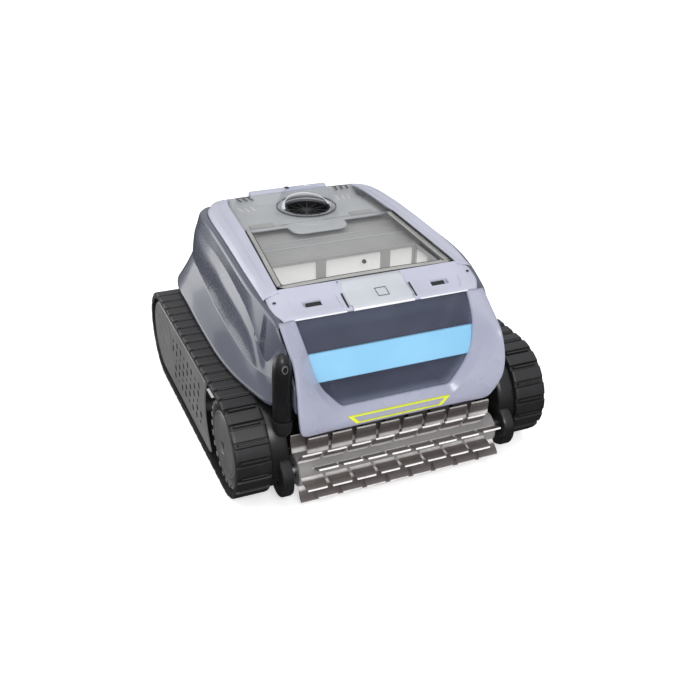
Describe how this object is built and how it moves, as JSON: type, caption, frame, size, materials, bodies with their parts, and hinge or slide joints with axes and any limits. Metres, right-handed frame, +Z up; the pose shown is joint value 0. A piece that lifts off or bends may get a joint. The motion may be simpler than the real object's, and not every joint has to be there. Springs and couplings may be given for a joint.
{
  "type": "robotic pool cleaner",
  "caption": "Cordless tracked pool-cleaning robot with a front roller brush, carrying handle, hinged window lid over a filter basket, and a jet outlet on top.",
  "frame": {"origin": "centre of the bounding box's bottom, on the floor the tracks stand on", "axes": "+Z up; -Y is the front, with the handle and the brush; +X is to the right of someone facing the front"},
  "size_m": [0.43, 0.4684, 0.2845],
  "materials": {
    "slate_abs": "moulded ABS with a soft gloss",
    "lavender_abs": "moulded ABS, satin gloss",
    "black_pp": "moulded polypropylene, fine grain",
    "charcoal_pp": "moulded polypropylene, fine grain",
    "black_rubber": "moulded rubber, matt",
    "sky_blue_grip": "soft-touch moulding",
    "lime_ink": "raised coloured line",
    "silver_plastic": "silver-tinted moulding",
    "smoked_window": "clear smoked polycarbonate, polished",
    "clear_cowl": "clear polycarbonate, polished",
    "grey_abs": "moulded ABS",
    "white_mesh": "fine woven nylon mesh",
    "grey_pvc": "soft PVC, matt",
    "stainless_steel": "turned and brushed",
    "white_acetal": "moulded acetal"
  },
  "bodies": {
    "machine": {"badge_outline": "lime_ink", "battery_pack": "charcoal_pp", "carry_handle": "sky_blue_grip", "charge_socket": "black_pp", "chassis_tray": "black_pp", "control_box": "charcoal_pp", "drive_motor_left": "stainless_steel", "drive_motor_right": "stainless_steel", "filter_frame": "grey_abs", "filter_mesh": "white_mesh", "front_axle_left": "stainless_steel", "front_axle_right": "stainless_steel", "front_fascia": "lavender_abs", "gear_case_left": "charcoal_pp", "gear_case_right": "charcoal_pp", "handle_recess": "slate_abs", "hinge_pin": "stainless_steel", "hinge_strip": "lavender_abs", "main_shell": "slate_abs", "outlet_grille": "black_pp", "pump_deck": "grey_abs", "pump_duct": "black_pp", "pump_motor": "charcoal_pp", "rear_axle_left": "stainless_steel", "rear_axle_right": "stainless_steel", "shaft_seal": "black_rubber", "side_plate_left": "charcoal_pp", "side_plate_right": "charcoal_pp", "suction_throat": "grey_abs", "track_left": "black_rubber", "track_right": "black_rubber"},
    "lid": {"lid_frame": "lavender_abs", "lid_window": "smoked_window", "lid_rear_panel": "silver_plastic", "outlet_cowl": "clear_cowl", "lid_screw_left": "stainless_steel", "lid_screw_right": "stainless_steel", "lid_seal": "black_rubber"},
    "latch": {"latch_tab": "silver_plastic", "latch_pin": "stainless_steel"},
    "impeller": {"impeller": "charcoal_pp", "pump_shaft": "stainless_steel"},
    "suction_flap_left": {"suction_flap_left": "black_rubber"},
    "suction_flap_right": {"suction_flap_right": "black_rubber"},
    "power_button": {"power_button": "black_pp"},
    "charge_plug": {"charge_plug": "black_rubber"},
    "brush": {"brush_roller": "grey_pvc", "brush_shaft": "stainless_steel", "brush_gear": "white_acetal"},
    "front_wheel_left": {"front_wheel_left": "charcoal_pp", "front_hub_cap_left": "charcoal_pp", "wheel_gear_left": "white_acetal"},
    "rear_wheel_left": {"rear_wheel_left": "charcoal_pp"},
    "motor_pinion_left": {"motor_pinion_left": "white_acetal"},
    "front_wheel_right": {"front_wheel_right": "charcoal_pp", "front_hub_cap_right": "charcoal_pp", "wheel_gear_right": "white_acetal"},
    "rear_wheel_right": {"rear_wheel_right": "charcoal_pp"},
    "motor_pinion_right": {"motor_pinion_right": "white_acetal"}
  },
  "joints": [
    {"name": "lid_hinge", "type": "hinge", "parent": "machine", "child": "lid", "pos_m": [0, 0.2022, 0.256], "axis": [-1, 0, 0], "range_deg": [0, 95]},
    {"name": "latch_hinge", "type": "hinge", "parent": "lid", "child": "latch", "pos_m": [0, -0.1034, 0.249], "axis": [-1, 0, 0], "range_deg": [0, 40]},
    {"name": "impeller_spin", "type": "hinge", "parent": "machine", "child": "impeller", "pos_m": [0, 0.1242, 0.215], "axis": [0, 0, 1], "continuous": true},
    {"name": "front_wheel_left_spin", "type": "hinge", "parent": "machine", "child": "front_wheel_left", "pos_m": [-0.19, -0.1383, 0.0678], "axis": [1, 0, 0], "continuous": true},
    {"name": "rear_wheel_left_spin", "type": "hinge", "parent": "machine", "child": "rear_wheel_left", "pos_m": [-0.19, 0.1667, 0.0678], "axis": [1, 0, 0], "continuous": true},
    {"name": "motor_pinion_left_spin", "type": "hinge", "parent": "machine", "child": "motor_pinion_left", "pos_m": [-0.157, -0.09738, 0.07029], "axis": [1, 0, 0], "continuous": true},
    {"name": "suction_flap_left_swing", "type": "hinge", "parent": "machine", "child": "suction_flap_left", "pos_m": [0, -0.0392, 0.1304], "axis": [-1, 0, 0], "range_deg": [0, 55]},
    {"name": "front_wheel_right_spin", "type": "hinge", "parent": "machine", "child": "front_wheel_right", "pos_m": [0.19, -0.1383, 0.0678], "axis": [1, 0, 0], "continuous": true},
    {"name": "rear_wheel_right_spin", "type": "hinge", "parent": "machine", "child": "rear_wheel_right", "pos_m": [0.19, 0.1667, 0.0678], "axis": [1, 0, 0], "continuous": true},
    {"name": "motor_pinion_right_spin", "type": "hinge", "parent": "machine", "child": "motor_pinion_right", "pos_m": [0.157, -0.09738, 0.07029], "axis": [1, 0, 0], "continuous": true},
    {"name": "suction_flap_right_swing", "type": "hinge", "parent": "machine", "child": "suction_flap_right", "pos_m": [0, -0.0392, 0.1304], "axis": [-1, 0, 0], "range_deg": [0, 55]},
    {"name": "brush_spin", "type": "hinge", "parent": "machine", "child": "brush", "pos_m": [0, -0.1908, 0.045], "axis": [1, 0, 0], "continuous": true},
    {"name": "power_button_press", "type": "slide", "parent": "machine", "child": "power_button", "axis": [0, 0, -1], "range_m": [0, 0.001], "stiffness_N_per_m": 600, "springref_m": -0.0008},
    {"name": "charge_plug_pull", "type": "slide", "parent": "machine", "child": "charge_plug", "axis": [0, 0, 1], "range_m": [0, 0.04]}
  ],
  "couplings": [
    {"joint": "rear_wheel_left_spin", "follows": "front_wheel_left_spin", "ratio": 1},
    {"joint": "motor_pinion_left_spin", "follows": "front_wheel_left_spin", "ratio": -4},
    {"joint": "rear_wheel_right_spin", "follows": "front_wheel_right_spin", "ratio": 1},
    {"joint": "motor_pinion_right_spin", "follows": "front_wheel_right_spin", "ratio": -4},
    {"joint": "brush_spin", "follows": "front_wheel_left_spin", "ratio": -1.3333}
  ]
}
